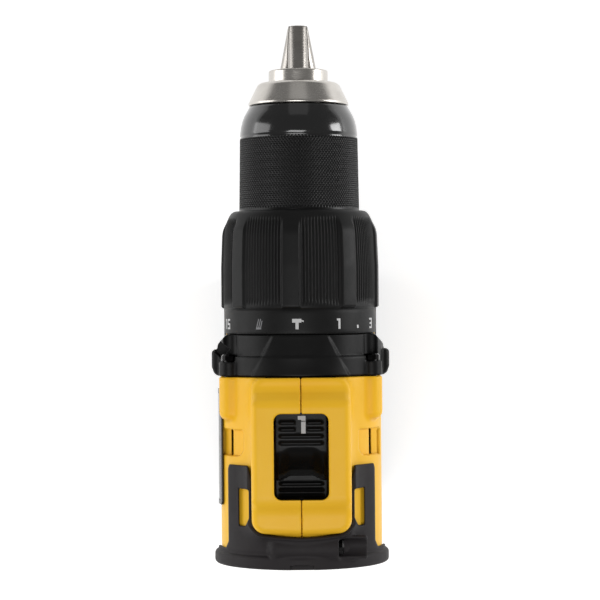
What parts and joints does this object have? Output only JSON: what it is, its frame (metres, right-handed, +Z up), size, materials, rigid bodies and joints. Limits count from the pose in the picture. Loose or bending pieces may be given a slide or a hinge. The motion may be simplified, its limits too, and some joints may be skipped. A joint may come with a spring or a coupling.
{
  "type": "cordless hammer drill",
  "caption": "Compact cordless hammer drill with a keyless chuck, torque collar, soft grip and slide-on battery pack, standing on the pack.",
  "frame": {"origin": "centre of the battery pack's flat base, on the ground", "axes": "+X forward along the spindle to the chuck, +Y to the tool's left, +Z up"},
  "size_m": [0.1907, 0.0632, 0.198],
  "materials": {
    "yellow_shell": "moulded glass-filled nylon, satin",
    "black_rubber": "overmoulded soft elastomer, matt",
    "black_plastic": "moulded glass-filled nylon, fine grain",
    "steel": "turned and ground",
    "dark_steel": "sintered or phosphated steel",
    "black_metal": "turned sleeve with a black coating",
    "copper": "enamelled copper wire, varnished",
    "cell_wrap": "cell can in shrink wrap",
    "clear_lens": "clear polycarbonate"
  },
  "bodies": {
    "housing": {"shell_left": "yellow_shell", "shell_right": "yellow_shell", "bumper_left": "black_rubber", "bumper_right": "black_rubber", "grip_left": "black_rubber", "grip_right": "black_rubber", "nameplate": "black_plastic", "gearcase": "black_plastic", "ring_gear": "dark_steel", "stator_core": "dark_steel", "stator_windings": "copper", "motor_bearing_rear": "steel", "motor_bearing_front": "steel", "spindle_bearing": "steel", "clutch_spring": "steel", "switch_module": "black_plastic", "tool_terminals": "black_plastic", "lamp_lens": "clear_lens", "gearcase_screw_1": "steel", "gearcase_screw_2": "steel", "gearcase_screw_3": "steel", "gearcase_screw_4": "steel", "shell_screw_1": "dark_steel", "shell_screw_2": "dark_steel", "shell_screw_3": "dark_steel", "shell_screw_4": "dark_steel", "shell_screw_5": "dark_steel"},
    "rotor_group": {"motor_shaft": "steel", "rotor": "dark_steel", "fan": "black_plastic"},
    "carrier": {"carrier_1": "dark_steel"},
    "planet_1_1_body": {"planet_1_1": "dark_steel"},
    "planet_1_2_body": {"planet_1_2": "dark_steel"},
    "planet_1_3_body": {"planet_1_3": "dark_steel"},
    "planet_2_1_body": {"planet_2_1": "dark_steel"},
    "planet_2_2_body": {"planet_2_2": "dark_steel"},
    "planet_2_3_body": {"planet_2_3": "dark_steel"},
    "spindle_group": {"spindle": "steel", "chuck_body": "steel", "chuck_screw": "dark_steel"},
    "sleeve_group": {"chuck_sleeve": "black_metal", "nose_cone": "steel", "jaw_nut": "dark_steel"},
    "jaw_1_body": {"jaw_1": "steel"},
    "jaw_2_body": {"jaw_2": "steel"},
    "jaw_3_body": {"jaw_3": "steel"},
    "collar": {"torque_collar": "black_plastic", "clutch_nut": "steel"},
    "selector": {"speed_selector": "black_plastic"},
    "trigger_body": {"trigger": "black_plastic"},
    "direction": {"direction_lever": "black_plastic"},
    "battery": {"pack_tray": "black_plastic", "pack_lid": "black_plastic", "cell_1": "cell_wrap", "cell_2": "cell_wrap", "cell_3": "cell_wrap", "cell_4": "cell_wrap", "cell_5": "cell_wrap"},
    "latch": {"pack_latch": "black_plastic"},
    "charge_key": {"charge_button": "black_rubber"}
  },
  "joints": [
    {"name": "spindle_spin", "type": "hinge", "parent": "housing", "child": "spindle_group", "pos_m": [0.05, 0, 0.162], "axis": [1, 0, 0], "continuous": true},
    {"name": "carrier_spin", "type": "hinge", "parent": "housing", "child": "carrier", "pos_m": [0.01, 0, 0.162], "axis": [1, 0, 0], "continuous": true},
    {"name": "motor_spin", "type": "hinge", "parent": "housing", "child": "rotor_group", "pos_m": [0, 0, 0.162], "axis": [1, 0, 0], "continuous": true},
    {"name": "planet_1_1_spin", "type": "hinge", "parent": "carrier", "child": "planet_1_1_body", "pos_m": [0.0052, 0.01148, 0.162], "axis": [1, 0, 0], "continuous": true},
    {"name": "planet_1_2_spin", "type": "hinge", "parent": "carrier", "child": "planet_1_2_body", "pos_m": [0.0052, -0.00574, 0.17194], "axis": [1, 0, 0], "continuous": true},
    {"name": "planet_1_3_spin", "type": "hinge", "parent": "carrier", "child": "planet_1_3_body", "pos_m": [0.0052, -0.00574, 0.15206], "axis": [1, 0, 0], "continuous": true},
    {"name": "planet_2_1_spin", "type": "hinge", "parent": "spindle_group", "child": "planet_2_1_body", "pos_m": [0.0147, 0.01148, 0.162], "axis": [1, 0, 0], "continuous": true},
    {"name": "planet_2_2_spin", "type": "hinge", "parent": "spindle_group", "child": "planet_2_2_body", "pos_m": [0.0147, -0.00574, 0.17194], "axis": [1, 0, 0], "continuous": true},
    {"name": "planet_2_3_spin", "type": "hinge", "parent": "spindle_group", "child": "planet_2_3_body", "pos_m": [0.0147, -0.00574, 0.15206], "axis": [1, 0, 0], "continuous": true},
    {"name": "chuck_sleeve_turn", "type": "hinge", "parent": "spindle_group", "child": "sleeve_group", "pos_m": [0.09, 0, 0.162], "axis": [-1, 0, 0], "range_deg": [0, 7630]},
    {"name": "jaw_1_slide", "type": "slide", "parent": "spindle_group", "child": "jaw_1_body", "axis": [-0.9763, 0, 0.2164], "range_m": [0, 0.0297]},
    {"name": "jaw_2_slide", "type": "slide", "parent": "spindle_group", "child": "jaw_2_body", "axis": [-0.9763, 0.1874, -0.1082], "range_m": [0, 0.0297]},
    {"name": "jaw_3_slide", "type": "slide", "parent": "spindle_group", "child": "jaw_3_body", "axis": [-0.9763, -0.1874, -0.1082], "range_m": [0, 0.0297]},
    {"name": "torque_collar_turn", "type": "hinge", "parent": "housing", "child": "collar", "pos_m": [0.048, 0, 0.162], "axis": [1, 0, 0], "range_deg": [0, 328]},
    {"name": "speed_selector_slide", "type": "slide", "parent": "housing", "child": "selector", "axis": [1, 0, 0], "range_m": [0, 0.008]},
    {"name": "trigger_pull", "type": "slide", "parent": "housing", "child": "trigger_body", "axis": [-1, 0, 0], "range_m": [0, 0.006], "stiffness_N_per_m": 900, "springref_m": -0.002},
    {"name": "direction_push", "type": "slide", "parent": "housing", "child": "direction", "axis": [0, 1, 0], "range_m": [-0.0035, 0.0035]},
    {"name": "battery_slide", "type": "slide", "parent": "housing", "child": "battery", "axis": [1, 0, 0], "range_m": [0, 0.095]},
    {"name": "latch_press", "type": "slide", "parent": "battery", "child": "latch", "axis": [0, 0, -1], "range_m": [0, 0.004], "stiffness_N_per_m": 700, "springref_m": -0.002},
    {"name": "charge_button_press", "type": "slide", "parent": "battery", "child": "charge_key", "axis": [1, 0, 0], "range_m": [0, 0.001], "stiffness_N_per_m": 1500, "springref_m": -0.0005}
  ],
  "couplings": [
    {"joint": "carrier_spin", "follows": "spindle_spin", "ratio": 4.5},
    {"joint": "motor_spin", "follows": "spindle_spin", "ratio": 20.25},
    {"joint": "planet_1_1_spin", "follows": "spindle_spin", "ratio": -12.6},
    {"joint": "planet_1_2_spin", "follows": "spindle_spin", "ratio": -12.6},
    {"joint": "planet_1_3_spin", "follows": "spindle_spin", "ratio": -12.6},
    {"joint": "planet_2_1_spin", "follows": "spindle_spin", "ratio": -2.8},
    {"joint": "planet_2_2_spin", "follows": "spindle_spin", "ratio": -2.8},
    {"joint": "planet_2_3_spin", "follows": "spindle_spin", "ratio": -2.8},
    {"joint": "jaw_1_slide", "follows": "chuck_sleeve_turn", "m_per_rad": 0.00022282},
    {"joint": "jaw_2_slide", "follows": "chuck_sleeve_turn", "m_per_rad": 0.00022282},
    {"joint": "jaw_3_slide", "follows": "chuck_sleeve_turn", "m_per_rad": 0.00022282}
  ]
}
